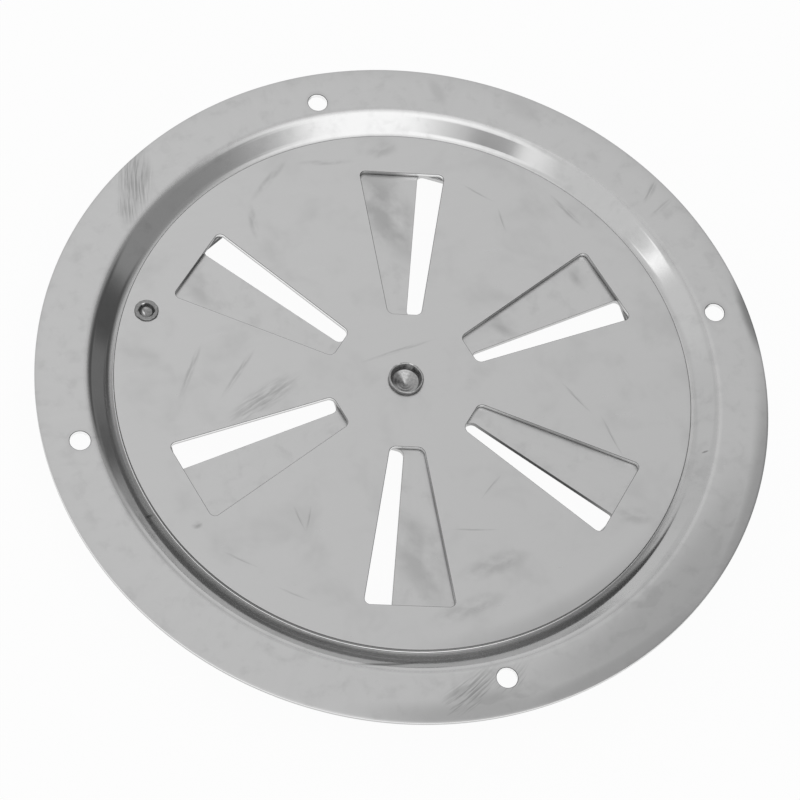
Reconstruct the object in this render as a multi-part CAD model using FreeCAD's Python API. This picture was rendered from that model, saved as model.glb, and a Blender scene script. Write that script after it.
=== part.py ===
"""Closable round vent grille in stainless sheet: a drawn housing, a slotted shutter disc
that turns in its recess, the rivet it turns on and the knob that moves it.

Millimetres. The origin is the centre of the flange's mounting face. +Z points out of that
face, into the duct, so the recess, the front face and the knob lie below it.
+X runs through one of the screw holes.
"""

import FreeCAD
import Part
import math
import os

from FreeCAD import Vector

# Housing: flat flange, sloped wall and recess floor, pressed from one sheet
flange_diameter = 127.0
flange_width = 8.8  # from the rim to the corner where the wall starts
housing_sheet = 0.9
recess_depth = 2.85
wall_slope = 40.0  # degrees from the flange's plane
flange_bend_radius = 1.0  # inside of the bend between flange and wall
floor_bend_radius = 1.8  # inside of the bend between wall and floor

# Screw holes in the flange
screw_hole_diameter = 3.5
screw_hole_count = 4
screw_hole_from_rim = 6.15

# Shutter disc
disc_sheet = 0.9
disc_floor_gap = 0.1  # between the disc and the recess floor
disc_wall_clearance = 0.35  # between the disc's rim and the start of the floor bend

# Air slots, the same in the disc and in the floor
slot_count = 6
slot_inner_reach = 13.0  # from the axis to the narrow end
slot_inner_width = 5.8
slot_outer_width = 15.5
slot_inner_corner = 1.2
slot_outer_corner = 1.0
slot_from_knob = 4.0  # from the wide end out to the knob's circle

# Shutter's turn, counted from fully open and counter-clockwise seen from +Z
shutter_turn = 14.4
shutter_travel = 180.0 / slot_count

# Pivot rivet: semi-tubular, its head on the front and its rolled lip over the disc
rivet_shank_diameter = 5.3
rivet_hole_clearance = 0.05  # radial, in the floor
disc_bore_clearance = 0.05  # radial, where the disc turns on the shank
rivet_head_diameter = 8.6
rivet_head_height = 1.7
rivet_crown_diameter = 5.6  # the flat end of the head, inside its tapered side
rivet_lip_overhang = 0.45
rivet_lip_height = 0.7
rivet_lip_gap = 0.05  # between the lip and the disc
rivet_lip_bevel = 0.17
cup_wall_thickness = 0.28
cup_mouth_flare = 0.27
cup_wall_depth = 1.45
cup_cone_depth = 0.9

# Knob: turned in one piece with the shank and the flared tenon that holds it
knob_from_disc_edge = 4.0
knob_slot_number = 2  # the slot it stands beside, counted from +X
knob_to_slot_angle = 16.1  # from the centre line of that slot in the disc
knob_shank_diameter = 4.2
knob_slot_clearance = 0.35  # between the shank and its curved slot, sides and ends
knob_face_gap = 0.3  # between the knob and the front face
knob_neck_diameter = 6.0
knob_neck_length = 2.2
knob_grip_diameter = 9.0
knob_grip_length = 5.8
knob_grip_bevel = 0.4
tenon_diameter = 3.2
tenon_hole_clearance = 0.05  # radial, in the disc
tenon_rim_overhang = 0.55
tenon_rim_height = 0.35
tenon_rim_bevel = 0.17
punch_mark_mouth_diameter = 2.7
punch_mark_floor_diameter = 1.8
punch_mark_depth = 1.0

# Radii that follow, from the rim inwards
flange_radius = flange_diameter / 2
mouth_radius = flange_radius - flange_width
screw_circle_radius = flange_radius - screw_hole_from_rim
half_slope = math.tan(math.radians(wall_slope / 2))
floor_corner_radius = mouth_radius - recess_depth / math.tan(math.radians(wall_slope))
floor_flat_radius = floor_corner_radius - floor_bend_radius * half_slope
disc_radius = floor_flat_radius - disc_wall_clearance
knob_circle_radius = disc_radius - knob_from_disc_edge
slot_outer_reach = knob_circle_radius - slot_from_knob
rivet_shank_radius = rivet_shank_diameter / 2
knob_shank_radius = knob_shank_diameter / 2
tenon_radius = tenon_diameter / 2

# Heights that follow, from the mounting face down
floor_top = -recess_depth
front_face = floor_top - housing_sheet
disc_bottom = floor_top + disc_floor_gap
disc_top = disc_bottom + disc_sheet
knob_top = front_face - knob_face_gap

# Angles that follow
slot_pitch = 360.0 / slot_count
knob_open_angle = knob_slot_number * slot_pitch + knob_to_slot_angle
knob_angle = knob_open_angle + shutter_turn

AXIS = Vector(0, 0, 1)
CENTRE = Vector(0, 0, 0)
OVERCUT = 1.0  # how far a cutter passes each face of a sheet


def in_section(radius, height):
    """A point of a turned or pressed section, in the XZ plane."""
    return Vector(radius, 0, height)


def on_circle(radius, angle, height=0.0):
    """A point at an angle in degrees round the axis."""
    turn = math.radians(angle)
    return Vector(radius * math.cos(turn), radius * math.sin(turn), height)


def rounded_wire(corners):
    """A closed wire through (point, radius) corners, each rounded by its own radius."""
    arcs = []
    for place, (point, radius) in enumerate(corners):
        back = (corners[place - 1][0] - point).normalize()
        ahead = (corners[(place + 1) % len(corners)][0] - point).normalize()
        half_angle = back.getAngle(ahead) / 2
        reach = radius / math.tan(half_angle)
        middle = (back + ahead).normalize() * (radius / math.sin(half_angle) - radius)
        arcs.append((point + back * reach, point + middle, point + ahead * reach, radius))
    edges = []
    for place, (start, middle, end, radius) in enumerate(arcs):
        if radius > 0:
            edges.append(Part.Arc(start, middle, end).toShape())
        following = arcs[(place + 1) % len(arcs)][0]
        edges.append(Part.LineSegment(end, following).toShape())
    return Part.Wire(edges)


def sharp_wire(points):
    """A closed wire of straight lines through the points."""
    return Part.makePolygon(points + points[:1])


def turned(section):
    """The solid that a closed section makes when it turns once round the axis."""
    return Part.Face(section).revolve(CENTRE, AXIS, 360)


def through_hole(radius, centre, bottom, top):
    """A round cutter that passes both faces of a sheet."""
    base = Vector(centre.x, centre.y, bottom - OVERCUT)
    return Part.makeCylinder(radius, top - bottom + 2 * OVERCUT, base)


def air_slot(angle, bottom, top):
    """A cutter for one air slot: straight ends, straight sides and rounded corners."""
    height = bottom - OVERCUT
    inner = slot_inner_width / 2
    outer = slot_outer_width / 2
    outline = rounded_wire([
        (Vector(slot_inner_reach, inner, height), slot_inner_corner),
        (Vector(slot_inner_reach, -inner, height), slot_inner_corner),
        (Vector(slot_outer_reach, -outer, height), slot_outer_corner),
        (Vector(slot_outer_reach, outer, height), slot_outer_corner),
    ])
    cutter = Part.Face(outline).extrude(AXIS * (top - bottom + 2 * OVERCUT))
    cutter.rotate(CENTRE, AXIS, angle)
    return cutter


def air_slots(first_angle, bottom, top):
    """One cutter for each slot of the ring."""
    return [air_slot(first_angle + n * slot_pitch, bottom, top) for n in range(slot_count)]


def curved_slot(radius, half_width, first_angle, last_angle, bottom, top):
    """A cutter for a slot bent round the axis, with round ends."""
    height = bottom - OVERCUT
    middle_angle = (first_angle + last_angle) / 2
    first_end = on_circle(radius, first_angle, height)
    last_end = on_circle(radius, last_angle, height)
    past_first = first_end + on_circle(half_width, first_angle - 90)
    past_last = last_end + on_circle(half_width, last_angle + 90)
    inside = radius - half_width
    outside = radius + half_width
    outline = Part.Wire([
        Part.Arc(
            on_circle(outside, first_angle, height),
            on_circle(outside, middle_angle, height),
            on_circle(outside, last_angle, height),
        ).toShape(),
        Part.Arc(
            on_circle(outside, last_angle, height),
            past_last,
            on_circle(inside, last_angle, height),
        ).toShape(),
        Part.Arc(
            on_circle(inside, last_angle, height),
            on_circle(inside, middle_angle, height),
            on_circle(inside, first_angle, height),
        ).toShape(),
        Part.Arc(
            on_circle(inside, first_angle, height),
            past_first,
            on_circle(outside, first_angle, height),
        ).toShape(),
    ])
    return Part.Face(outline).extrude(AXIS * (top - bottom + 2 * OVERCUT))


def housing_blank():
    """The pressed dish before it is pierced: both faces stay one sheet apart at each bend."""
    shift = housing_sheet * half_slope
    bore = rivet_shank_radius + rivet_hole_clearance
    return turned(rounded_wire([
        (in_section(flange_radius, 0), 0),
        (in_section(mouth_radius, 0), flange_bend_radius + housing_sheet),
        (in_section(floor_corner_radius, floor_top), floor_bend_radius),
        (in_section(bore, floor_top), 0),
        (in_section(bore, front_face), 0),
        (in_section(floor_corner_radius + shift, front_face), floor_bend_radius + housing_sheet),
        (in_section(mouth_radius + shift, -housing_sheet), flange_bend_radius),
        (in_section(flange_radius, -housing_sheet), 0),
    ]))


def housing():
    """The dish with its screw holes, its air slots and the knob's curved slot."""
    screw_holes = [
        through_hole(
            screw_hole_diameter / 2,
            on_circle(screw_circle_radius, n * 360.0 / screw_hole_count),
            -housing_sheet,
            0,
        )
        for n in range(screw_hole_count)
    ]
    knob_path = curved_slot(
        knob_circle_radius,
        knob_shank_radius + knob_slot_clearance,
        knob_open_angle,
        knob_open_angle + shutter_travel,
        front_face,
        floor_top,
    )
    return housing_blank().cut(screw_holes + air_slots(0, front_face, floor_top) + [knob_path])


def shutter_disc():
    """The blanked disc, in the pose that shutter_turn gives."""
    bore = rivet_shank_radius + disc_bore_clearance
    blank = turned(sharp_wire([
        in_section(disc_radius, disc_bottom),
        in_section(disc_radius, disc_top),
        in_section(bore, disc_top),
        in_section(bore, disc_bottom),
    ]))
    tenon_hole = through_hole(
        tenon_radius + tenon_hole_clearance,
        on_circle(knob_circle_radius, knob_angle),
        disc_bottom,
        disc_top,
    )
    return blank.cut(air_slots(shutter_turn, disc_bottom, disc_top) + [tenon_hole])


def pivot_rivet():
    """The set rivet: low pan head, shank, rolled lip and the drilled cup inside it."""
    head_end = front_face - rivet_head_height
    lip_bottom = disc_top + rivet_lip_gap
    lip_top = lip_bottom + rivet_lip_height
    lip_radius = rivet_shank_radius + rivet_lip_overhang
    cup_radius = rivet_shank_radius - cup_wall_thickness
    cup_floor = lip_top - cup_wall_depth
    return turned(sharp_wire([
        in_section(0, head_end),
        in_section(rivet_crown_diameter / 2, head_end),
        in_section(rivet_head_diameter / 2, front_face),
        in_section(rivet_shank_radius, front_face),
        in_section(rivet_shank_radius, lip_bottom),
        in_section(lip_radius, lip_bottom),
        in_section(lip_radius, lip_top - rivet_lip_bevel),
        in_section(lip_radius - rivet_lip_bevel, lip_top),
        in_section(cup_radius + cup_mouth_flare, lip_top),
        in_section(cup_radius, cup_floor),
        in_section(0, cup_floor - cup_cone_depth),
    ]))


def knob():
    """Grip, neck, shank in the curved slot, tenon in the disc and its punched, flared rim."""
    rim_top = disc_top + tenon_rim_height
    rim_radius = tenon_radius + tenon_rim_overhang
    neck_radius = knob_neck_diameter / 2
    grip_radius = knob_grip_diameter / 2
    grip_top = knob_top - knob_neck_length
    grip_bottom = grip_top - knob_grip_length
    body = turned(sharp_wire([
        in_section(0, grip_bottom),
        in_section(grip_radius - knob_grip_bevel, grip_bottom),
        in_section(grip_radius, grip_bottom + knob_grip_bevel),
        in_section(grip_radius, grip_top),
        in_section(neck_radius, grip_top),
        in_section(neck_radius, knob_top),
        in_section(knob_shank_radius, knob_top),
        in_section(knob_shank_radius, disc_bottom),
        in_section(tenon_radius, disc_bottom),
        in_section(tenon_radius, disc_top),
        in_section(rim_radius, disc_top),
        in_section(rim_radius, rim_top - tenon_rim_bevel),
        in_section(rim_radius - tenon_rim_bevel, rim_top),
        in_section(punch_mark_mouth_diameter / 2, rim_top),
        in_section(punch_mark_floor_diameter / 2, rim_top - punch_mark_depth),
        in_section(0, rim_top - punch_mark_depth),
    ]))
    body.translate(on_circle(knob_circle_radius, knob_angle))
    return body


def main():
    """Write one STEP file for each piece and print its volume in cubic centimetres."""
    os.makedirs("parts", exist_ok=True)
    pieces = {
        "housing": housing(),
        "shutter_disc": shutter_disc(),
        "pivot_rivet": pivot_rivet(),
        "knob": knob(),
    }
    for name, piece in pieces.items():
        piece.exportStep("parts/" + name + ".step")
        state = "valid" if piece.isValid() else "not valid"
        print(name, len(piece.Solids), "solid", round(piece.Volume / 1000, 3), "cm3", state)
    print("disc radius", round(disc_radius, 3), "knob circle", round(knob_circle_radius, 3))
    print("knob at", round(knob_angle, 2), "degrees, slot ends at", round(slot_outer_reach, 3))


main()
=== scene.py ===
# %% [markdown]
# # Round vent grille
# A vent that closes: a slotted disc turns in the dish of a slotted housing.
# We look at its back, the side that is screwed to a wall or a panel.
# All four pieces are stainless steel, so the work is in the folds, the cut edges and
# the way each of them mirrors the studio.

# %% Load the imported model
import math
import bmesh
import bpy
from mathutils import Matrix, Vector, noise


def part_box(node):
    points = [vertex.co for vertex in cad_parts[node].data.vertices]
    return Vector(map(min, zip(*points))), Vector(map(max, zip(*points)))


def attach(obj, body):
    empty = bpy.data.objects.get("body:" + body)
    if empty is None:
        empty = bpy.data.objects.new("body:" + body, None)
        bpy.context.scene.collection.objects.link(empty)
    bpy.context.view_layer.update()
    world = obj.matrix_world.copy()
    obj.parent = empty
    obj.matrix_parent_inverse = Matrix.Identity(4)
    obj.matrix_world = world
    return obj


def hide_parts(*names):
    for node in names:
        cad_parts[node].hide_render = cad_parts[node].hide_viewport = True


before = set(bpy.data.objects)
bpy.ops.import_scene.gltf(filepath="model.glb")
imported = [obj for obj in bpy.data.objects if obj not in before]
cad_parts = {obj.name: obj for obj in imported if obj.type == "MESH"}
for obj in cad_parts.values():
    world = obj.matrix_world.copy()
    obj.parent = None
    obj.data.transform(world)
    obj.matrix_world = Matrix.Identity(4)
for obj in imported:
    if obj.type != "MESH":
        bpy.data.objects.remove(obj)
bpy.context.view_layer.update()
MM = 0.001

# %% [markdown]
# ## Sizes
# The solids are loaded already, so the big sizes are read from them and can't disagree.
# What a box can't tell, such as a bend or a slot's corner, is named here in millimetres.
# Working in millimetres and shrinking each mesh once at the end keeps the numbers readable.

# %% Sizes from the solids, in millimetres


def reach(node):
    """A node's lowest and highest corner, in millimetres."""
    low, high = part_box(node)
    return low / MM, high / MM


housing_low, housing_high = reach("housing")
disc_low, disc_high = reach("shutter_disc")
rivet_low, rivet_high = reach("pivot_rivet")
knob_low, knob_high = reach("knob")
flange_radius = housing_high.x
disc_radius = disc_high.x
sheet = disc_high.z - disc_low.z
front_face = housing_low.z
floor_top = front_face + sheet
knob_centre = (knob_low + knob_high) / 2
knob_angle = math.degrees(math.atan2(knob_centre.y, knob_centre.x))
knob_circle = math.hypot(knob_centre.x, knob_centre.y)
print(f"flange {flange_radius:.2f}, disc {disc_radius:.2f}, sheet {sheet:.2f} mm")
print(f"dish {-floor_top:.2f} mm deep, knob at {knob_angle:.1f} degrees on {knob_circle:.2f} mm")

# %% [markdown]
# ## Outlines
# Every hole in a pressed sheet is a flat outline pushed through it. If each point of the
# outline also knows which way is outwards, the same outline can be grown a little.
# That gives the rounded shoulder that the punch drags down, with matching points.

# %% Outlines of the holes
FIRST_POINT = 0.37  # steps past the X axis, so that no point of a circle lies on an axis


def heading(turn):
    """The level unit vector at an angle in radians."""
    return Vector((math.cos(turn), math.sin(turn)))


def circle_outline(radius, count, centre=(0, 0)):
    """(point, outwards) pairs round a circle."""
    outwards = [heading(math.tau * (n + FIRST_POINT) / count) for n in range(count)]
    return [(Vector(centre) + radius * way, way) for way in outwards]


def rounded_outline(corners, steps=10):
    """(point, outwards) pairs round (x, y, radius) corners given counter-clockwise."""
    pairs = []
    for place, (x, y, radius) in enumerate(corners):
        here = Vector((x, y))
        arriving = (here - Vector(corners[place - 1][:2])).normalized()
        leaving = (Vector(corners[(place + 1) % len(corners)][:2]) - here).normalized()
        half_angle = (-arriving).angle(leaving) / 2
        middle = here + (leaving - arriving).normalized() * radius / math.sin(half_angle)
        first = math.atan2(-arriving.x, arriving.y)
        sweep = (math.atan2(-leaving.x, leaving.y) - first) % math.tau
        for step in range(steps + 1):
            way = heading(first + sweep * step / steps)
            pairs.append((middle + radius * way, way))
    return pairs


def curved_outline(radius, half_width, first, last, steps=24):
    """(point, outwards) pairs round a slot bent about the axis, from one angle to another."""
    # A leg: the angle its own centre lies at or None, its radius, its two ends, its side.
    legs = [
        (None, radius + half_width, first, last, 1),
        (last, half_width, last, last + 180, 1),
        (None, radius - half_width, last, first, -1),
        (first, half_width, first + 180, first + 360, 1),
    ]
    pairs = []
    for at, size, start, end, sign in legs:
        centre = Vector((0, 0)) if at is None else radius * heading(math.radians(at))
        for step in range(steps):
            way = heading(math.radians(start + (end - start) * step / steps))
            pairs.append((centre + size * way, sign * way))
    return pairs


def turned_outline(outline, angle):
    """The same outline, turned about the axis by an angle in degrees."""
    turn = Matrix.Rotation(math.radians(angle), 2)
    return [(turn @ point, turn @ way) for point, way in outline]


slot_from_knob = 4.0
slot_inner_reach, slot_inner_half, slot_inner_corner = 13.0, 2.9, 1.2
slot_outer_reach = knob_circle - slot_from_knob
slot_outer_half, slot_outer_corner = 7.75, 1.0
air_slot = rounded_outline([
    (slot_inner_reach, -slot_inner_half, slot_inner_corner),
    (slot_outer_reach, -slot_outer_half, slot_outer_corner),
    (slot_outer_reach, slot_outer_half, slot_outer_corner),
    (slot_inner_reach, slot_inner_half, slot_inner_corner),
])
slot_angles = [60 * n for n in range(6)]
shutter_turn, shutter_travel = 14.4, 30.0  # degrees that it stands open, and can turn
knob_slot_half, knob_slot_first = 2.45, knob_angle - shutter_turn
screw_radius, screw_from_rim = 1.75, 6.15
screw_places = [
    (flange_radius - screw_from_rim) * heading(math.radians(angle))
    for angle in (0, 90, 180, -90)
]
print(f"{len(slot_angles)} air slots, each from {slot_inner_reach} to {slot_outer_reach:.2f} mm")

# %% [markdown]
# ## Rings, bands and flats
# Sheet metal could be made with Solidify and Boolean modifiers, but those leave long thin
# faces across the flats, and a mirror shows every one. Here each edge is a stack of
# matching rings joined by bands of quads, and each flat is one filled face between rings.
# At the end every flat is told its exact normal, so it stays dead flat beside a bend.

# %% Mesh helpers
# A piece's materials in this order. The last two are the screw holes' or the disc slots'
# cut edge, and the shoulder round the disc.
SHEET_FACE, CUT_EDGE, SHOULDER, OTHER_EDGE, RIM_SHOULDER = range(5)
ROUND_STEPS, DROOP_STEPS = 5, 8
BEND_STEP = 5  # degrees
NARROWEST = 0.1  # mm, the least band of a droop beside a rounded edge
CREASE = math.radians(32)  # sharper edges are shaded apart
STEADIED = math.radians(30)  # normals nearer than this to a flat's are made the flat's
LEVEL = 0.99999  # the least upright part of a flat's normal


def new_ring(mesh, outline, height, inset=0.0):
    """A ring of vertices along an outline, grown by inset."""
    points = [point + way * inset for point, way in outline]
    return [mesh.verts.new((point.x, point.y, height)) for point in points]


def band(mesh, ring, following, material=SHEET_FACE):
    """Quads that join two rings with as many points."""
    for place, vertex in enumerate(ring):
        corners = (ring[place - 1], vertex, following[place], following[place - 1])
        mesh.faces.new(corners).material_index = material


def ring_area(ring):
    """The flat area inside a ring."""
    pairs = zip(ring, ring[1:] + ring[:1])
    return abs(sum(a.co.x * b.co.y - b.co.x * a.co.y for a, b in pairs)) / 2


def flat(mesh, *rings):
    """A flat face inside the first ring, with the other rings as its holes."""
    edges = [
        mesh.edges.get((ring[place - 1], vertex))
        for ring in rings
        for place, vertex in enumerate(ring)
    ]
    filled = bmesh.ops.triangle_fill(mesh, edges=edges, use_beauty=True)["geom"]
    made = sum(part.calc_area() for part in filled if isinstance(part, bmesh.types.BMFace))
    meant = ring_area(rings[0]) - sum(ring_area(ring) for ring in rings[1:])
    print(f"flat of {made:.1f} mm2, meant to be {meant:.1f}")


def edge_steps(top, bottom, shoulder, burr):
    """(distance into the metal, height) steps over a punched edge, from the punch's side."""
    turns = [math.radians(90 * n / ROUND_STEPS) for n in range(ROUND_STEPS + 1)]
    over = [(shoulder * (1 - math.sin(t)), top - shoulder * (1 - math.cos(t))) for t in turns]
    return over + [(0, bottom + burr), (burr, bottom)]


def drooped(steps, width, depth):
    """The same steps with the last width of the sheet drawn down towards its edge."""
    top, bottom = steps[0][1], steps[-1][1]
    insets = [width * n / DROOP_STEPS for n in range(DROOP_STEPS, 0, -1)]
    above = [(inset, top) for inset in insets if inset > steps[0][0] + NARROWEST]
    insets.reverse()
    below = [(inset, bottom) for inset in insets if inset > steps[-1][0] + NARROWEST]
    return [
        (inset, height - depth * max(0, 1 - inset / width) ** 2)
        for inset, height in above + steps + below
    ]


def punched_edge(mesh, outline, steps, sign=1, cut=CUT_EDGE, shoulder=SHOULDER):
    """The rings over the edge of a hole, or of a rim with sign -1: the first and the last."""
    rings = [new_ring(mesh, outline, height, sign * inset) for inset, height in steps]
    insets = [inset for inset, _ in steps]
    rounded = next(n for n, inset in enumerate(insets) if inset == insets[n + 1])
    for place, ring in enumerate(rings[1:], start=1):
        material = SHEET_FACE
        if place >= rounded and insets[place] <= insets[place - 1]:
            material = cut
        elif rounded - ROUND_STEPS < place < rounded:
            material = shoulder
        band(mesh, rings[place - 1], ring, material)
    return rings[0], rings[-1]


def softened(points):
    """(radius, height) points along an open line of (radius, height, bend) corners.

    A corner with a bend is rounded to that radius.
    """
    line = []
    for place, (x, y, bend) in enumerate(points):
        here = Vector((x, y))
        if not bend:
            line.append(here)
            continue
        back = (Vector(points[place - 1][:2]) - here).normalized()
        ahead = (Vector(points[place + 1][:2]) - here).normalized()
        half_angle = back.angle(ahead) / 2
        middle = here + (back + ahead).normalized() * bend / math.sin(half_angle)
        start = here + back * bend / math.tan(half_angle) - middle
        sweep = start.angle_signed(here + ahead * bend / math.tan(half_angle) - middle)
        steps = max(3, round(abs(math.degrees(sweep)) / BEND_STEP))
        for step in range(steps + 1):
            turn = Matrix.Rotation(-sweep * step / steps, 2)
            line.append(middle + turn @ start)
    return line


def steady_normals(data):
    """Smooth shading in which every level face keeps its own normal up to its edge."""
    data.shade_smooth()
    data.set_sharp_from_angle(angle=CREASE)
    level = {}
    for face in data.polygons:
        if abs(face.normal.z) > LEVEL:
            level.update({vertex: face.normal.copy() for vertex in face.vertices})
    normals = [corner.vector.copy() for corner in data.corner_normals]
    for corner in data.loops:
        flat_normal = level.get(corner.vertex_index)
        if flat_normal and normals[corner.index].angle(flat_normal) < STEADIED:
            normals[corner.index] = flat_normal
    data.normals_split_custom_set(normals)


def finished(mesh, name, body, node, materials):
    """Turns the built mesh into a piece that rides its body and stands for its solid."""
    bmesh.ops.recalc_face_normals(mesh, faces=mesh.faces)
    data = bpy.data.meshes.new(name)
    mesh.to_mesh(data)
    mesh.free()
    steady_normals(data)
    data.transform(Matrix.Scale(MM, 4))
    piece = bpy.data.objects.new(name, data)
    bpy.context.scene.collection.objects.link(piece)
    for material in materials:
        data.materials.append(material)
    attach(piece, body)
    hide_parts(node)
    low, high = Vector(piece.bound_box[0]) / MM, Vector(piece.bound_box[6]) / MM
    print(f"{name}: {len(data.polygons)} faces, {low.z:.2f} to {high.z:.2f} mm high")

# %% [markdown]
# ## Stainless steel
# Stainless is a pale grey metal with no pigment: nearly all that we see is the room in
# it. So its look comes from how each surface was made. A metal in Blender is
# the Principled shader with metallic at 1 and its IOR left alone, and the work goes into
# roughness and a very small bump.

# %% Colour and node helpers
BUMP_DEPTH = 0.02  # mm


def linear(code):
    """A colour written as sRGB hex, as the shader wants it."""
    parts = [int(code[place:place + 2], 16) / 255 for place in (1, 3, 5)]
    lit = [c / 12.92 if c <= 0.04045 else ((c + 0.055) / 1.055) ** 2.4 for c in parts]
    return (*lit, 1.0)


def add(tree, kind, inputs=None, **settings):
    """Adds one node. An input takes a plain value or another node's output."""
    node = tree.nodes.new(kind)
    for name, value in settings.items():
        setattr(node, name, value)
    for key, value in (inputs or {}).items():
        if isinstance(value, bpy.types.NodeSocket):
            tree.links.new(value, node.inputs[key])
        else:
            node.inputs[key].default_value = value
    return node


def maths(tree, operation, first, second=None):
    """The result of an operation on one or two numbers."""
    inputs = {0: first} if second is None else {0: first, 1: second}
    return add(tree, "ShaderNodeMath", inputs, operation=operation).outputs[0]


def between(tree, factor, first, second):
    """A number between two."""
    return add(tree, "ShaderNodeMix", {"Factor": factor, 2: first, 3: second}).outputs[0]


def blend(tree, factor, first, second):
    """A colour between two."""
    inputs = {"Factor": factor, 6: first, 7: second}
    return add(tree, "ShaderNodeMix", inputs, data_type="RGBA").outputs[2]


def ranged(tree, value, source=(0.0, 1.0), target=(0.0, 1.0), smooth=False):
    """A number moved from one range to another, and held inside it."""
    return add(tree, "ShaderNodeMapRange", {
        "Value": value,
        "From Min": source[0],
        "From Max": source[1],
        "To Min": target[0],
        "To Max": target[1],
    }, interpolation_type="SMOOTHSTEP" if smooth else "LINEAR").outputs[0]


def speckle(tree, place, size, **more):
    """Noise with spots of about a size in millimetres."""
    inputs = {"Vector": place, "Scale": 1 / size, "Detail": 3.0, **more}
    return add(tree, "ShaderNodeTexNoise", inputs).outputs[0]


def drawn_out(tree, place, x=1.0, z=1.0):
    """The position with one way slowed down, which draws a pattern out along it."""
    inputs = {"Vector": place, "Scale": (x, 1.0, z)}
    return add(tree, "ShaderNodeMapping", inputs).outputs[0]


def counted(tree, place, size, **lie):
    """The position counted in steps of a (length, width), from where they lie."""
    inputs = {"Vector": place, "Scale": (*size, 1), **lie}
    return add(tree, "ShaderNodeMapping", inputs, vector_type="TEXTURE").outputs[0]


def new_material(name):
    """An empty material, its node tree and its position in millimetres."""
    material = bpy.data.materials.new(name)
    material.use_nodes = True
    tree = material.node_tree
    tree.nodes.clear()
    coordinates = add(tree, "ShaderNodeTexCoord")
    scaled = add(
        tree,
        "ShaderNodeVectorMath",
        {0: coordinates.outputs["Object"], "Scale": 1 / MM},
        operation="SCALE",
    )
    return material, tree, scaled.outputs[0]


def finish_metal(tree, base, roughness, height, bump_strength, **lathe):
    """The Principled metal at the end of a steel's tree, with a lathe's lines if given."""
    bump = add(
        tree,
        "ShaderNodeBump",
        {"Height": height, "Strength": bump_strength, "Distance": BUMP_DEPTH * MM},
    )
    metal = add(tree, "ShaderNodeBsdfPrincipled", {
        "Base Color": base,
        "Metallic": 1.0,
        "Roughness": roughness,
        "Normal": bump.outputs[0],
        **lathe,
    })
    add(tree, "ShaderNodeOutputMaterial", {"Surface": metal.outputs[0]})


# %% [markdown]
# ## Marks of wear and painted light
# Handled steel tells where it was touched: a glove drags a brush of dull lines, damp
# fingers leave clouds, and the stack of discs leaves hairlines. The same marks also paint
# shade, dark reflections and highlights into the colour, where a list says so. Image textures
# could hold these, but a list of soft ellipses is lighter: each says where it lies, how it
# slants and how strong it is, and a stretched noise breaks it into strokes.

# %% Wear and painted light from a list of marks
MARK_CORE = 0.25  # the share of a mark's size that is fully worn
STROKES_SHOW = (0.36, 0.6)  # the noise where a stroke starts, and where it is full


def wear_and_light_marks(tree, place, marks, stroke=None):
    """How strongly each point is marked, 0 to 1, by wear and by painted light, broken into
    strokes of a (length, width) if given.

    A mark is (x, y, slant, half length, half width, strength).
    """
    total = 0.0
    for x, y, slant, half_length, half_width, strength in marks:
        lie = {"Location": (x, y, 0), "Rotation": (0, 0, math.radians(slant))}
        oval = counted(tree, place, (half_length, half_width), **lie)
        away = add(tree, "ShaderNodeVectorMath", {0: oval}, operation="LENGTH")
        share = (0.0, strength)
        mark = ranged(tree, away.outputs["Value"], (1.0, MARK_CORE), share, smooth=True)
        if stroke:
            lines = speckle(tree, counted(tree, place, stroke, **lie), 1.0)
            mark = maths(tree, "MULTIPLY", mark, ranged(tree, lines, STROKES_SHOW))
        total = maths(tree, "MAXIMUM", total, mark)
    return total


def level_and_polar(tree, place):
    """The position without its height, as (degrees, radius, 0) round the axis, the radius."""
    level = add(tree, "ShaderNodeVectorMath", {0: place, 1: (1, 1, 0)}, operation="MULTIPLY")
    away = add(tree, "ShaderNodeVectorMath", {0: level.outputs[0]}, operation="LENGTH")
    parts = add(tree, "ShaderNodeSeparateXYZ", {0: place})
    turn = maths(tree, "ARCTAN2", parts.outputs["Y"], parts.outputs["X"])
    degrees = maths(tree, "MULTIPLY", turn, math.degrees(1))
    radius = away.outputs["Value"]
    polar = add(tree, "ShaderNodeCombineXYZ", {"X": degrees, "Y": radius})
    return level.outputs[0], polar.outputs[0], radius


# %% Where the sheets are marked
# Each group: measured round the axis or not, the strokes' length and width in mm, its marks.
# Round the axis, x is in degrees and y is the radius: on the flange a degree is about 1 mm.


def round_screws(marks):
    """Round marks on the four screw holes, from (half width, strength) pairs."""
    return [
        (*place, 0, half_width, half_width, strength)
        for place, (half_width, strength) in zip(screw_places, marks)
    ]


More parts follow.
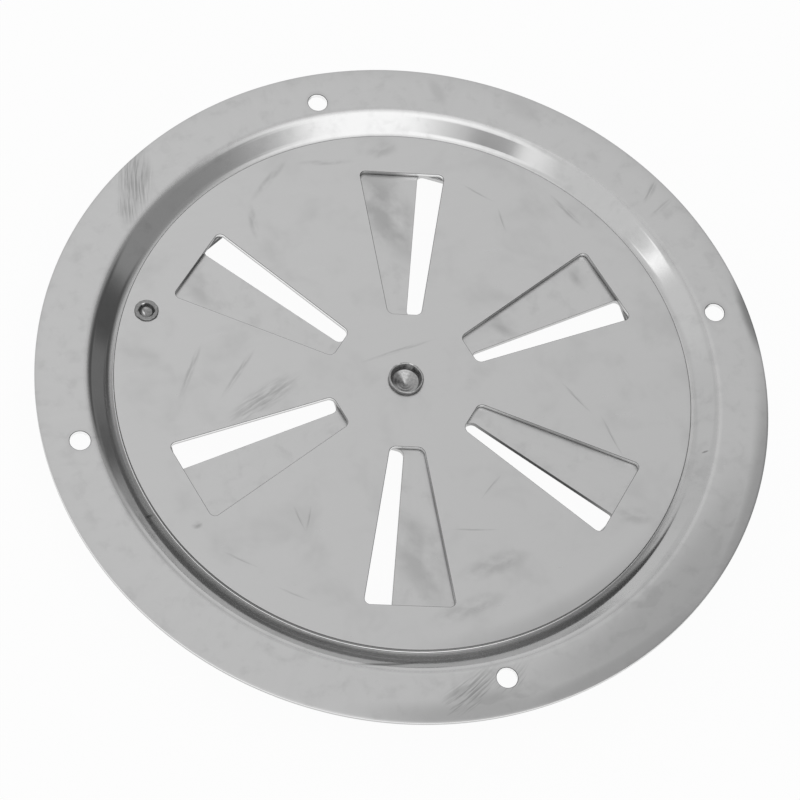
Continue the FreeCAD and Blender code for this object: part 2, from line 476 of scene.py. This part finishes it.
HOUSING_WEAR_AND_SHADE = [
    (True, (5.5, 0.36), [
        (127.2, 60.0, -40, 7.6, 3.7, 0.75),
        (132.0, 57.8, -36, 4.6, 2.4, 0.6),
        (-96.6, 59.5, -33, 8.4, 3.8, 0.8),
        (-90.0, 58.8, -36, 6.5, 2.8, 0.5),
        (26.0, 60.3, 70, 3.4, 0.8, 0.45),
        (22.5, 59.6, 84, 4.0, 0.8, 0.3),
        (180.0, 54.4, 90, 2.6, 0.4, 0.5),
    ]),
    # Clouds on the near and lower-right flange: painted dark reflection, where the flange
    # mirrors a dim part of the room.
    (True, (7.0, 4.0), [
        (-61.0, 58.6, 6, 25, 6.5, 0.5),
        (-46.0, 61.4, 0, 16, 4.0, 0.45),
        (-94.0, 61.6, 0, 17, 4.2, 0.5),
        (230.0, 60.0, 50, 9.0, 4.0, 0.25),
        (250.0, 57.4, 0, 30.0, 3.4, 0.22),
    ]),
    (True, None, [
        # The first four: broad bands across the lower-right flange, painted dark reflection.
        (-72.0, 62.9, 0, 32, 3.6, 0.55),
        (-60.0, 59.8, 0, 38, 7.0, 0.42),
        (-36.0, 63.2, 0, 32, 3.0, 0.5),
        (-96.0, 62.6, 0, 22, 3.8, 0.42),
        (126.6, 60.4, -40, 6.5, 2.6, 0.2),
        (-97.6, 60.2, -33, 7.0, 2.4, 0.22),
        (-2.0, 63.4, 0, 9, 1.9, 0.9),
        (68.0, 59.5, 60, 4.0, 1.6, 0.2),
        (53.0, 60.9, 20, 5.0, 3.0, 0.15),
        (-109.7, 53.4, -10, 7.5, 0.45, 1.0),
        (-163.0, 51.4, 80, 1.1, 0.4, 1.0),
        (-28.5, 53.1, 70, 0.7, 0.3, 0.8),
    ]),
    (False, None, round_screws([(2.9, 0.4), (2.8, 0.35), (2.7, 0.25), (2.9, 0.35)])),
    (False, (7.0, 5.0), [
        (6.8, 33.6, -74, 15.0, 6.5, 0.5),
        (-6.9, -33.1, -77, 13.0, 6.0, 0.36),
        (36.6, 13.8, -81, 3.0, 2.2, 0.4),
        (20.4, 7.1, -48, 4.5, 2.5, 0.4),
        (-29.4, 25.1, -68, 6.0, 3.5, 0.3),
    ]),
]
DISC_WEAR_AND_SHADE = [
    (False, (4.0, 0.5), [
        (-25.0, 1.8, -156, 9.5, 2.6, 0.5),
        (-35.8, 9.8, -123, 6.5, 0.8, 0.4),
        (-27.9, 7.6, -135, 6.5, 0.7, 0.4),
        (0.6, 5.8, -173, 8.5, 0.45, 0.35),
        (28.2, -10.0, -64, 4.4, 0.35, 0.5),
        (31.9, -18.5, -81, 5.0, 0.3, 0.5),
        (23.7, 33.8, -45, 3.8, 0.3, 0.45),
        (26.3, 27.3, -90, 3.1, 0.3, 0.45),
        (38.5, 26.7, -63, 5.4, 0.7, 0.4),
        (-25.0, -21.3, -81, 2.9, 0.3, 0.45),
        (-23.5, -21.6, 66, 2.8, 0.3, 0.45),
        (3.2, -30.0, -13, 4.8, 0.25, 0.5),
        (8.4, -23.0, -142, 3.6, 0.3, 0.4),
        (-36.5, -26.3, -39, 3.9, 0.3, 0.4),
        (-29.4, -34.4, -36, 3.8, 0.3, 0.35),
    ]),
    (False, (3.4, 1.8), [
        (-12.5, 44.3, -140, 6.5, 1.0, 0.35),
        (-17.6, 36.4, -96, 4.4, 1.0, 0.35),
        (-1.8, 45.8, -9, 6.2, 0.8, 0.3),
        (9.1, 46.2, 14, 3.8, 2.0, 0.3),
        (4.7, -37.0, 6, 8.0, 2.6, 0.3),
        (-1.8, -43.5, 8, 9.0, 2.4, 0.28),
        (30.7, -33.8, -19, 4.4, 2.2, 0.3),
        (-41.9, -18.6, 15, 1.2, 0.9, 0.6),
    ]),
    # The disc darker near its rim on the lower-right side: painted dark reflection.
    (True, None, [
        (-75.0, 50.4, 0, 34, 4.0, 0.3),
    ]),
]
print(sum(len(group[-1]) for group in HOUSING_WEAR_AND_SHADE + DISC_WEAR_AND_SHADE), "marks of wear")

# %% [markdown]
# ## Mill finish
# The sheet comes off the rolls with a soft satin skin and a faint grain one way. In the
# shop it picks up smudges from gloves and hair-fine scratches from the stack. On the
# dish's wall the press has dragged it over the die, and there it is almost a mirror.

# %% The sheet's material
GRAIN_WIDTH = 0.25  # mm, coarser than the real 0.05 so that it shows at this distance
GRAIN_DRAW, GRAIN_BUMP = 0.04, 0.05
DIE_STREAK = (2.2, 12.0)  # degrees round the axis, mm outwards
HANDLED = (3.4, 0.36)  # smudges: mm across, and a small number for strong ones
CLEAN = (9.0, 0.4)
SMUDGES_START = 0.46
SATIN, POLISHED = 0.3, 0.13
stainless = linear("#CDCDCD")
stainless_smudged = linear("#C2C2C2")
# The colour of scuffs, and of painted dark reflections.
stainless_scuffed_and_shaded = linear("#8E8E8E")


def sheet_smudges(tree, place, size, spread):
    """Faint smudges, 0 to 1, of a size in millimetres."""
    smudge = speckle(tree, place, size, Roughness=0.6, Distortion=0.25)
    return ranged(tree, smudge, (SMUDGES_START, SMUDGES_START + spread), smooth=True)


def pressed_streaks(tree, polar):
    """Fine streaks from the axis outwards, which the die draws on the metal."""
    streaks = speckle(tree, counted(tree, polar, DIE_STREAK), 1.0)
    return ranged(tree, streaks, (0.45, 0.8), (0.0, 0.2))


def polish(tree, radius, inner, outer):
    """1 where the die has polished the wall, between two radii."""
    edges = ((inner - 0.4, inner + 0.2), (outer + 0.5, outer - 0.4))
    shares = [ranged(tree, radius, edge, smooth=True) for edge in edges]
    return maths(tree, "MULTIPLY", *shares)


def rolled_sheet(name, wear_and_shade, smudged_by, pressed=None):
    """Mill-finish stainless with its wear and painted dark reflections, polished between two
    radii if it was pressed.
    """
    material, tree, place = new_material(name)
    level, polar, radius = level_and_polar(tree, place)
    grain = speckle(tree, drawn_out(tree, place, x=GRAIN_DRAW), GRAIN_WIDTH)
    smudges = sheet_smudges(tree, place, *smudged_by)
    if pressed:
        smudges = maths(tree, "MAXIMUM", smudges, pressed_streaks(tree, polar))
    smudged = blend(tree, smudges, stainless, stainless_smudged)
    # Scuffs, and painted dark reflections, from the same lists of marks.
    scuffs_and_shade = 0.0
    for round_axis, stroke, marks in wear_and_shade:
        group = wear_and_light_marks(tree, polar if round_axis else level, marks, stroke)
        scuffs_and_shade = maths(tree, "MAXIMUM", scuffs_and_shade, group)
    base = blend(tree, scuffs_and_shade, smudged, stainless_scuffed_and_shaded)
    roughness = ranged(tree, grain, target=(SATIN - 0.05, SATIN + 0.05))
    if pressed:
        roughness = between(tree, polish(tree, radius, *pressed), roughness, POLISHED)
    finish_metal(tree, base, roughness, grain, GRAIN_BUMP)
    return material


# %% [markdown]
# ## Cut edges
# A punch cuts the first part of the sheet cleanly and then tears the rest off. So a cut
# edge has a smooth band near the punch's side and a grey, streaked band below it, with
# the streaks along the punch's travel. The slots' edges are bright, apart from some dark
# patches, and painted shadows where the disc lies over the housing's floor. The shoulders
# round the holes are painted darker, as shade. The screw holes are small, so their punch
# burnished them all the way down. The disc's rim is painted dark, as shade, down to a burr
# at its foot, which catches the light as a thin line.

# %% The cut edge's material
STREAK_WIDTH, STREAK_DRAW = 0.22, 0.06  # mm along the edge, and how drawn out down it
TORN_BUMP = 0.4
BRIGHT_CUT = ("#F2F2F2", "#C9C9C9")  # cleanly cut, torn
BURNISHED_CUT = ("#FAFAFA", "#FAFAFA")
BLANKED_CUT = ("#8C8C8C", "#FAFAFA")  # painted shade, the burr
# Painted shade: the punched shoulders are darker than the sheet, in place of their reflection of
# the table.
DARK_SHOULDER = ("#8E8E8E", "#8E8E8E")
# Painted shade on the shoulder round the disc's rim.
RIM_SHADE = ("#666666", "#666666")
# The colour of every dark mark on a cut edge; some of these marks are painted shade.
darkened_cut = linear("#3C3C3C")
# Dark patches on the housing slots' cut edges, as level marks like those above.
DARK_SLOT_PATCHES = [
    (42.6, 1.5, 93, 6.0, 1.6, 1.0),
    (-25.3, 34.7, -155, 5.5, 1.6, 1.0),
    (18.4, -21.3, -50.6, 24, 1.6, 1.0),
]
SCREW_GRIME = [
    (56.0, 1.1, 50, 1.7, 0.9, 1.0),
    (-1.3, 58.4, 50, 1.2, 0.5, 0.5),
    (-1.4, -56.2, 50, 1.2, 0.5, 0.5),
]
# Painted shade, darkest on the shoulders round the screw holes.
SCREW_SHOULDER_SHADE = round_screws([(6.0, 0.85), (6.0, 0.75), (6.0, 0.6), (6.0, 0.8)])
# Painted contact shadows on the disc slots' cut edges, where the disc lies over the housing's
# floor.
DISC_SLOT_SHADOWS = [
    (41.0, 10.5, 104.4, 9.0, 1.5, 0.6),
    (8.0, 41.7, 164.4, 6.0, 1.5, 0.6),
    (-29.6, 30.2, 44.4, 9.0, 1.5, 0.9),
    (-12.6, -3.2, -75.6, 3.6, 1.2, 0.6),
    (-3.5, -12.5, -15.6, 3.6, 1.2, 0.3),
    (25.5, 12.0, 23.8, 17.0, 1.2, 0.45),
    (-2.3, -28.1, 83.8, 17.0, 1.2, 0.5),
    (23.1, -16.1, -36.2, 17.0, 1.2, 0.5),
]


def sheared_edge(name, top, bottom, tones, marks=(), upper=0.5):
    """Stainless as a punch leaves it, from a height down to another.

    Tones are those of the upper and the lower part, and upper is the upper one's share.
    """
    material, tree, place = new_material(name)
    streaks = speckle(tree, drawn_out(tree, place, z=STREAK_DRAW), STREAK_WIDTH)
    height = add(tree, "ShaderNodeSeparateXYZ", {0: place}).outputs["Z"]
    change = [top + share * (bottom - top) for share in (upper - 0.05, upper + 0.05)]
    torn = ranged(tree, height, change)
    cut = blend(tree, torn, linear(tones[0]), linear(tones[1]))
    # Listed marks darken the edge towards one dark colour; some of them are painted shade.
    level = level_and_polar(tree, place)[0]
    base = blend(tree, wear_and_light_marks(tree, level, marks), cut, darkened_cut)
    roughness = ranged(tree, torn, target=(0.22, 0.4))
    finish_metal(tree, base, roughness, streaks, TORN_BUMP)
    return material


# %% [markdown]
# ## Turned and upset steel
# The rivet and the knob are turned from bar, so they keep fine rings round their axis.
# The rivet's lip and the tenon's rim were then hammered over, which dulls and dents them.
# Shade in their hollows and a few glints on them are painted into their colour.

# %% The rivet's and the knob's material
RING_WIDTH = 0.25  # mm, the lathe's feed, coarser than the real 0.1 so that it shows
DENT_SIZE = 0.4  # mm
glint_white = linear("#FAFAFA")


def turned_steel(name, centre, roughness, bright, dark, shade_tone, painted_shade, painted_glints, dented=0.35):
    """Turned stainless with rings round an axis at centre, in millimetres.

    The first list of marks paints shade into hollows and crevices, with x as the distance
    from the axis and y as the height. The second list paints highlights, bright glints, level
    and measured from the axis. Bright and dark are the dents' colours, and the third colour
    is the painted shade's.
    """
    material, tree, place = new_material(name)
    axis = (centre[0], centre[1], 0)
    moved = add(tree, "ShaderNodeVectorMath", {0: place, 1: axis}, operation="SUBTRACT")
    level, _, radius = level_and_polar(tree, moved.outputs[0])
    height = add(tree, "ShaderNodeSeparateXYZ", {0: place}).outputs["Z"]
    section = add(tree, "ShaderNodeCombineXYZ", {"X": radius, "Y": height})
    rings = add(tree, "ShaderNodeTexNoise", {
        "W": maths(tree, "ADD", radius, height),
        "Scale": 1 / RING_WIDTH,
        "Detail": 2.0,
    }, noise_dimensions="1D")
    dents = speckle(tree, place, DENT_SIZE)
    shade = blend(tree, dents, linear(bright), linear(dark))
    # Painted shade in the hollows, then painted glints on top.
    shaded_base = blend(tree, wear_and_light_marks(tree, section.outputs[0], painted_shade), shade, linear(shade_tone))
    base = blend(tree, wear_and_light_marks(tree, level, painted_glints), shaded_base, glint_white)
    varied = ranged(tree, dents, target=(roughness - 0.06, roughness + 0.06))
    relief = maths(tree, "ADD", rings.outputs[0], dents)
    round_axis = add(tree, "ShaderNodeTangent", direction_type="RADIAL", axis="Z")
    finish_metal(tree, base, varied, relief, dented, **{
        "Anisotropic": 0.8,
        "Anisotropic Rotation": 0.25,
        "Tangent": round_axis.outputs[0],
    })
    return material


# %% [markdown]
# ## The housing
# One pressed sheet: a flange to screw down, a sloped wall and a floor with six air slots.
# The section is a line with rounded bends, swept round the axis ring by ring. The
# flange's outer edge droops a tenth of a millimetre, as blanking leaves it, and that is
# what darkens the rim in the light.

# %% Housing
ROUND_COUNT, BORE_COUNT, HOLE_COUNT = 384, 64, 48
mouth_radius = flange_radius - 9.05
wall_slope = 40.0  # degrees
floor_corner = mouth_radius + floor_top / math.tan(math.radians(wall_slope))
outer_shift = sheet * math.tan(math.radians(wall_slope / 2))
mouth_bend, floor_bend = 1.9, 2.6  # inner radii, a little softer than the solid's
rim_edge, screw_edge, slot_edge = (0.1, 0.04), (0.1, 0.03), (0.06, 0.03)  # shoulder, burr
rim_droop = (3.4, 0.1)  # mm wide, mm deep
floor_rim = floor_corner - 1.2  # where the floor is flat again
bore_radius = 2.7


def dish_rings(mesh, line):
    """Rings round the axis along a section line, joined into one skin."""
    rings = [new_ring(mesh, circle_outline(p.x, ROUND_COUNT), p.y) for p in softened(line)]
    for place, ring in enumerate(rings[1:]):
        band(mesh, rings[place], ring)
    return rings[0], rings[-1]


def housing_piece(materials):
    """The pressed dish with its screw holes, its air slots and the knob's slot."""
    mesh = bmesh.new()
    upper = dish_rings(mesh, [
        (mouth_radius + 1.03, 0, 0),
        (mouth_radius, 0, mouth_bend + sheet),
        (floor_corner, floor_top, floor_bend),
        (floor_rim, floor_top, 0),
    ])
    lower = dish_rings(mesh, [
        (mouth_radius + outer_shift + 0.7, -sheet, 0),
        (mouth_radius + outer_shift, -sheet, mouth_bend),
        (floor_corner + outer_shift, front_face, floor_bend + sheet),
        (floor_rim, front_face, 0),
    ])
    rim_steps = drooped(edge_steps(0, -sheet, *rim_edge), *rim_droop)
    outline = circle_outline(flange_radius, ROUND_COUNT)
    rim = punched_edge(mesh, outline, rim_steps, -1, shoulder=SHEET_FACE)
    screws = [
        punched_edge(
            mesh,
            circle_outline(screw_radius, HOLE_COUNT, place),
            edge_steps(0, -sheet, *screw_edge),
            cut=OTHER_EDGE,
        )
        for place in screw_places
    ]
    floor_steps = edge_steps(floor_top, front_face, *slot_edge)
    knob_slot = curved_outline(
        knob_circle, knob_slot_half, knob_slot_first, knob_slot_first + shutter_travel
    )
    cuts = [turned_outline(air_slot, angle) for angle in slot_angles]
    cuts += [knob_slot, circle_outline(bore_radius, BORE_COUNT)]
    slots = [punched_edge(mesh, outline, floor_steps) for outline in cuts]
    for side in (0, 1):
        flat(mesh, rim[side], (upper, lower)[side][0], *[ring[side] for ring in screws])
        flat(mesh, (upper, lower)[side][1], *[ring[side] for ring in slots])
    finished(mesh, "housing_pressed_sheet", "housing", "housing", materials)


housing_piece([
    rolled_sheet(
        "mill_finish_stainless_pressed", HOUSING_WEAR_AND_SHADE, HANDLED, (floor_corner, mouth_radius)
    ),
    sheared_edge("stainless_punched_edge", 0, -sheet, BRIGHT_CUT, DARK_SLOT_PATCHES),
    # Painted shade on the shoulders of the slots and the screw holes.
    sheared_edge("stainless_drawn_shoulder", 0, -sheet, DARK_SHOULDER, SCREW_SHOULDER_SHADE),
    sheared_edge("stainless_burnished_screw_hole", 0, -sheet, BURNISHED_CUT, SCREW_GRIME),
])

# %% [markdown]
# ## The shutter disc
# The same slots in a plain blanked disc, turned a little so that the vent is part closed.
# Its rim shows from the near side: a shoulder and a cut painted dark as shade, and the thin
# bright burr at its foot, as fine lines that follow one another round the disc.

# %% Shutter disc
disc_top, disc_bottom = disc_high.z, disc_low.z
tenon_hole_radius = 1.65
BURR_REACH, BURR_TOP, BURR_EDGE = 0.07, 0.13, 0.09  # mm outwards, and above the foot
blanked_edge, disc_slot_edge = (0.12, 0.04), (0.1, 0.03)  # shoulder, burr
disc_droop = (1.0, 0.015)  # mm wide, mm deep


def burred_steps():
    """The steps over the disc's rim, with the burr that stands out at its foot."""
    *over, straight, under = edge_steps(disc_top, disc_bottom, *blanked_edge)
    moved_in = [(inset + BURR_REACH, height) for inset, height in over]
    burr = [(BURR_REACH, disc_bottom + BURR_TOP), (0, disc_bottom + BURR_EDGE)]
    return moved_in + burr + [straight, under]


def disc_piece(materials):
    """The slotted disc in the pose that it was packed in."""
    mesh = bmesh.new()
    outline = circle_outline(disc_radius, ROUND_COUNT)
    rim_steps = drooped(burred_steps(), *disc_droop)
    rim = punched_edge(mesh, outline, rim_steps, -1, shoulder=RIM_SHOULDER)
    steps = edge_steps(disc_top, disc_bottom, *disc_slot_edge)
    cuts = [turned_outline(air_slot, angle + shutter_turn) for angle in slot_angles]
    cuts.append(circle_outline(bore_radius, BORE_COUNT))
    cuts.append(circle_outline(tenon_hole_radius, HOLE_COUNT, knob_centre.xy))
    slots = [punched_edge(mesh, outline, steps, cut=OTHER_EDGE) for outline in cuts]
    for side in (0, 1):
        flat(mesh, rim[side], *[ring[side] for ring in slots])
    finished(mesh, "shutter_disc_sheet", "shutter", "shutter_disc", materials)


disc_piece([
    rolled_sheet("mill_finish_stainless_flat", DISC_WEAR_AND_SHADE, CLEAN),
    # The rim's cut painted dark as shade, above a bright burr.
    sheared_edge("stainless_blanked_edge", disc_top, disc_bottom, BLANKED_CUT, upper=0.8),
    # Painted shade on the shoulders of the disc's slots.
    sheared_edge("stainless_drawn_shoulder_disc", disc_top, disc_bottom, DARK_SHOULDER),
    # The slots' cut edges, with painted contact shadows.
    sheared_edge(
        "stainless_punched_edge_disc", disc_top, disc_bottom, BRIGHT_CUT, DISC_SLOT_SHADOWS
    ),
    # Painted shade on the rim's shoulder.
    sheared_edge("stainless_blanked_shoulder", disc_top, disc_bottom, RIM_SHADE),
])

# %% [markdown]
# ## The rivet
# A semi-tubular rivet: its hollow end is rolled outwards over the disc, so we look into
# the drilled cup. The drill leaves a cone with a few faint rings on it. All of it is one
# section turned round the axis, and a little noise then dents the rolled lip.
# A section is written as (radius, height, bend), from its foot up and round to its axis.

# %% Rivet
TURNED_COUNT, CONE_STEPS = 128, 40
DENT_SEED = 5  # set, so that the dents come out the same each run
noise.seed_set(DENT_SEED)


def turned_piece(line, centre=(0, 0), dent=None):
    """A closed mesh from a section line that starts and ends on its axis."""
    mesh = bmesh.new()
    points = softened(line)
    rings = [
        new_ring(mesh, circle_outline(point.x, TURNED_COUNT, centre), point.y)
        for point in points[1:-1]
    ]
    for place, ring in enumerate(rings[1:]):
        band(mesh, rings[place], ring)
    for ring, end in ((rings[0], points[0]), (rings[-1], points[-1])):
        tip = mesh.verts.new((centre[0], centre[1], end.y))
        for place, vertex in enumerate(ring):
            mesh.faces.new((ring[place - 1], vertex, tip))
    if dent:
        for vertex in mesh.verts:
            vertex.co += dent(vertex.co)
    return mesh


head_radius, crown_radius, shank_radius = 4.3, 2.8, 2.65
lip_bottom, lip_top = disc_top + 0.05, rivet_high.z
cup_radius, cup_floor, cone_depth = 2.32, lip_top - 1.45, 0.9
drill_ring_height, drill_ring_width = 0.008, 0.62


def cone_height(radius):
    """The height of the drilled cone at a radius, with the drill's faint rings."""
    slope = cup_floor - cone_depth * (1 - radius / cup_radius)
    return slope + drill_ring_height * math.cos(math.tau * radius / drill_ring_width)


cone_radii = [cup_radius * (1 - n / CONE_STEPS) for n in range(1, CONE_STEPS)]
DENT_DEPTH, DENTS_PER_MM = 0.05, 1.6
FOLD_ANGLE, FOLD_WIDTH, FOLD_DEPTH, FOLD_REACH = 33, 13, 0.22, 3.0


def lip_dent(point):
    """Small dents in the rolled lip, and one fold where it bulges into the cup."""
    away = math.hypot(point.x, point.y)
    if point.z < lip_bottom or away < cup_radius + 0.05:
        return Vector((0, 0, 0))
    turn = math.degrees(math.atan2(point.y, point.x)) - FOLD_ANGLE
    fold = FOLD_DEPTH * math.exp(-(turn / FOLD_WIDTH) ** 2) * max(0, FOLD_REACH - away)
    inwards = Vector((-point.x / away, -point.y / away, 0))
    dent = DENT_DEPTH * noise.noise_vector(point * DENTS_PER_MM) * Vector((1, 1, 0.6))
    return dent + fold * inwards


rivet_mesh = turned_piece([
    (0, rivet_low.z, 0),
    (crown_radius, rivet_low.z, 0.5),
    (head_radius, front_face - 0.12, 0.1),
    (head_radius - 0.05, front_face, 0),
    (shank_radius, front_face, 0),
    (shank_radius, lip_bottom, 0),
    (2.74, lip_bottom, 0.05),
    (3.07, lip_bottom + 0.32, 0.25),
    (3.03, lip_top, 0.2),
    (2.72, lip_top, 0.14),
    (cup_radius, cup_floor, 0.12),
    *[(radius, cone_height(radius), 0) for radius in cone_radii],
    (0, cup_floor - 0.87, 0),
], dent=lip_dent)
finished(rivet_mesh, "pivot_rivet_rolled", "housing", "pivot_rivet", [
    # Painted shade on the cup's wall and in the crevice under the rolled lip; painted glints on
    # the lip.
    turned_steel("stainless_rivet_rolled", (0, 0), 0.17, "#C0C0C0", "#8C8C8C", "#585858", [
        (2.5, lip_top - 0.6, 97, 1.05, 0.36, 0.25),
        (3.08, disc_top + 0.2, 90, 0.55, 0.25, 0.8),
    ], painted_glints=[
        (1.6, 2.35, 146, 0.7, 0.16, 0.9),
        (-0.6, 2.85, 12, 0.5, 0.14, 0.7),
    ]),
])

# %% [markdown]
# ## The knob
# Turned in one piece. Its shank rides in the curved slot, and its hollow end comes up
# through the disc, where a punch has spread it. The punch tears the mouth a little, so
# the rim gets a coarser dent than the rivet's.

# %% Knob
grip_radius, neck_radius, knob_shank_radius, tenon_radius = 4.5, 3.0, 2.1, 1.6
grip_top, neck_top, rim_top = knob_low.z + 5.8, front_face - 0.3, knob_high.z
rim_radius, mouth_reach = 2.08, 1.38
TEARS_PER_MM = 1.9
TORN_INSIDE, TORN_OUTSIDE, TORN_DOWN = 0.14, 0.06, 0.03  # mm


def torn_mouth(point):
    """A ragged mouth where the punch spread the tenon."""
    away = math.hypot(point.x - knob_centre.x, point.y - knob_centre.y)
    if point.z < disc_top + 0.05 or not 1.2 < away < 2.2:
        return Vector((0, 0, 0))
    size = TORN_INSIDE if away < 1.75 else TORN_OUTSIDE
    tear = size * noise.noise_vector(point * TEARS_PER_MM) * Vector((1, 1, 0.4))
    return tear - Vector((0, 0, TORN_DOWN))


knob_mesh = turned_piece([
    (0, knob_low.z, 0),
    (grip_radius, knob_low.z, 0.9),
    (grip_radius, grip_top, 0.4),
    (neck_radius, grip_top, 0.3),
    (neck_radius, neck_top, 0.2),
    (knob_shank_radius, neck_top, 0),
    (knob_shank_radius, disc_bottom, 0),
    (tenon_radius, disc_bottom, 0),
    (tenon_radius, disc_top, 0),
    (rim_radius, disc_top, 0.08),
    (rim_radius, rim_top, 0.2),
    (mouth_reach, rim_top, 0.14),
    (1.02, rim_top - 0.9, 0.4),
    (0, rim_top - 1.2, 0),
], knob_centre.xy, torn_mouth)
finished(knob_mesh, "knob_turned", "shutter", "knob", [
    # Painted shade on the hole's wall and at the tenon's foot; painted glints on the hole's
    # floor and its torn rim.
    turned_steel("stainless_knob_turned", knob_centre, 0.24, "#A8A8A8", "#747474", "#5A5A5A", [
        (1.2, rim_top - 0.45, 110, 0.7, 0.3, 0.5),
        (2.1, disc_top + 0.05, 90, 0.3, 0.22, 1.0),
    ], painted_glints=[
        (-0.46, 0.13, -81, 0.75, 0.24, 1.0),
        (-0.33, 1.31, 10, 0.5, 0.17, 1.0),
    ], dented=0.9),
])

# %% [markdown]
# ## Floor
# The vent lies on a white table. To the camera and in the metal's mirror the table is
# paper white with a breath of shadow, and to all other light an ordinary pale surface.

# %% Floor
TABLE_HALF = 1.5  # m
TABLE_GAP = 0.05  # mm under the knob, so that the two faces don't share a plane
PAPER_WHITE = 0.95  # the rest is paint, which keeps the shadow


def white_table():
    """A big plane just under the knob."""
    data = bpy.data.meshes.new("table")
    corners = [(-1, -1), (1, -1), (1, 1), (-1, 1)]
    height = (knob_low.z - TABLE_GAP) * MM
    points = [(x * TABLE_HALF, y * TABLE_HALF, height) for x, y in corners]
    data.from_pydata(points, [], [(0, 1, 2, 3)])
    table = bpy.data.objects.new("table", data)
    bpy.context.scene.collection.objects.link(table)
    material, tree, _ = new_material("white_table")
    painted = add(tree, "ShaderNodeBsdfDiffuse", {"Color": linear("#E6E6E6")})
    bright = add(tree, "ShaderNodeEmission", {"Color": (1, 1, 1, 1), "Strength": 1.0})
    seen = add(tree, "ShaderNodeLightPath")
    mirrored = seen.outputs["Is Glossy Ray"]
    direct = maths(tree, "MAXIMUM", seen.outputs["Is Camera Ray"], mirrored)
    mixed = add(tree, "ShaderNodeMixShader", {
        0: maths(tree, "MULTIPLY", direct, PAPER_WHITE),
        1: painted.outputs[0],
        2: bright.outputs[0],
    })
    add(tree, "ShaderNodeOutputMaterial", {"Surface": mixed.outputs[0]})
    data.materials.append(material)


white_table()

# %% [markdown]
# ## Studio
# Bare steel shows the room, so the room is the light. It is a pale even dome with a few
# soft fields: a wide ceiling light over the camera, a brighter box at one side of it, and
# darker places where the room is empty. Each field is a soft-edged window of directions.

# %% Studio
# A field: name, azimuth, elevation, half width, half height, soft edge (degrees), brightness
ROOM = 0.74
FIELDS = [
    ("dim side of the room", -4.7, -11.1, 52.3, 80.0, 30.0, 0.35),
    ("dark doorway", 13.5, -11.4, 18.6, 60.0, 7.6, 0.11),
    ("pale box in the doorway", 20.0, 13.0, 10.0, 8.0, 3.0, 0.21),
    ("ceiling light", -94.7, 74.4, 35.8, 20.5, 8.3, 1.23),
    ("pale wall on the left", 177.1, 1.2, 33.4, 82.5, 14.0, 0.84),
    ("gap by the camera", -127.5, 36.0, 5.6, 12.8, 3.2, 0.35),
    ("bright box", -84.3, 56.0, 15.5, 20.1, 15.0, 1.53),
    ("hole between the lamps", -37.2, 46.2, 9.6, 9.0, 16.0, 0.43),
    ("slit of window", 169.3, 31.0, 2.0, 18.0, 6.0, 1.9),
    ("shade over it", 18.3, 55.7, 24.9, 12.2, 18.5, 0.37),
    ("dim corner behind", 88.4, 33.0, 30.0, 21.0, 5.0, 0.68),
    ("pale wall overhead", 61.2, 59.0, 17.0, 9.5, 9.0, 0.93),
    ("dark corner behind", 33.8, 63.1, 14.0, 1.5, 3.0, 0.42),
    ("white wall behind", 65.0, 10.0, 28.0, 17.0, 14.0, 0.8),
]


def studio():
    """The world: direction in, brightness out, and plain white behind everything."""
    world = bpy.data.worlds.new("studio")
    bpy.context.scene.world = world
    world.use_nodes = True
    tree = world.node_tree
    tree.nodes.clear()
    direction = add(tree, "ShaderNodeTexCoord").outputs["Generated"]
    value = ROOM
    for name, azimuth, elevation, half_width, half_height, soft, brightness in FIELDS:
        ahead = add(tree, "ShaderNodeVectorRotate", {
            "Vector": direction,
            "Angle": math.radians(-azimuth),
        }, rotation_type="Z_AXIS")
        facing = add(tree, "ShaderNodeVectorRotate", {
            "Vector": ahead.outputs[0],
            "Angle": math.radians(elevation),
        }, rotation_type="Y_AXIS")
        parts = add(tree, "ShaderNodeSeparateXYZ", {0: facing.outputs[0]})
        across = maths(tree, "ARCTAN2", parts.outputs["Y"], parts.outputs["X"])
        upwards = maths(tree, "ARCSINE", parts.outputs["Z"])
        windows = []
        for angle, half in ((across, half_width), (upwards, half_height)):
            edge = (math.radians(half + soft / 2), math.radians(half - soft / 2))
            windows.append(ranged(tree, maths(tree, "ABSOLUTE", angle), edge, smooth=True))
        value = between(tree, maths(tree, "MULTIPLY", *windows), value, brightness)
        print(f"{name}: {brightness} at {azimuth:.0f}, {elevation:.0f} degrees")
    seen = add(tree, "ShaderNodeLightPath")
    room = add(tree, "ShaderNodeBackground", {
        "Color": (1, 1, 1, 1),
        "Strength": between(tree, seen.outputs["Is Camera Ray"], value, 1.0),
    })
    add(tree, "ShaderNodeOutputWorld", {"Surface": room.outputs[0]})


studio()

# %% [markdown]
# ## Camera
# The photograph was taken from above and a little to one side, with the vent turned in
# the frame. The rim and the four screw holes fix where the camera stood.

# %% Camera
camera_azimuth, camera_elevation, camera_roll = -119.94, 61.18, 15.23  # degrees
camera_distance = 440.06  # mm
camera_aim = Vector((-2.05, -3.44, -2.21))  # mm
camera_data = bpy.data.cameras.new("camera")
camera_data.sensor_width = 36.0
camera_data.lens = 115.17
camera = bpy.data.objects.new("camera", camera_data)
bpy.context.scene.collection.objects.link(camera)
azimuth, elevation = math.radians(camera_azimuth), math.radians(camera_elevation)
towards_camera = Vector((
    math.cos(azimuth) * math.cos(elevation),
    math.sin(azimuth) * math.cos(elevation),
    math.sin(elevation),
))
facing = (-towards_camera).to_track_quat("-Z", "Y").to_matrix().to_4x4()
place = Matrix.Translation((camera_aim + camera_distance * towards_camera) * MM)
camera.matrix_world = place @ facing @ Matrix.Rotation(math.radians(camera_roll), 4, "Z")
bpy.context.scene.camera = camera
print("camera at", [round(v / MM, 1) for v in camera.matrix_world.translation], "mm")

# %% [markdown]
# ## Colour management
# The Standard view shows the tones just as they were worked out.

# %% Colour management
bpy.context.scene.view_settings.view_transform = "Standard"
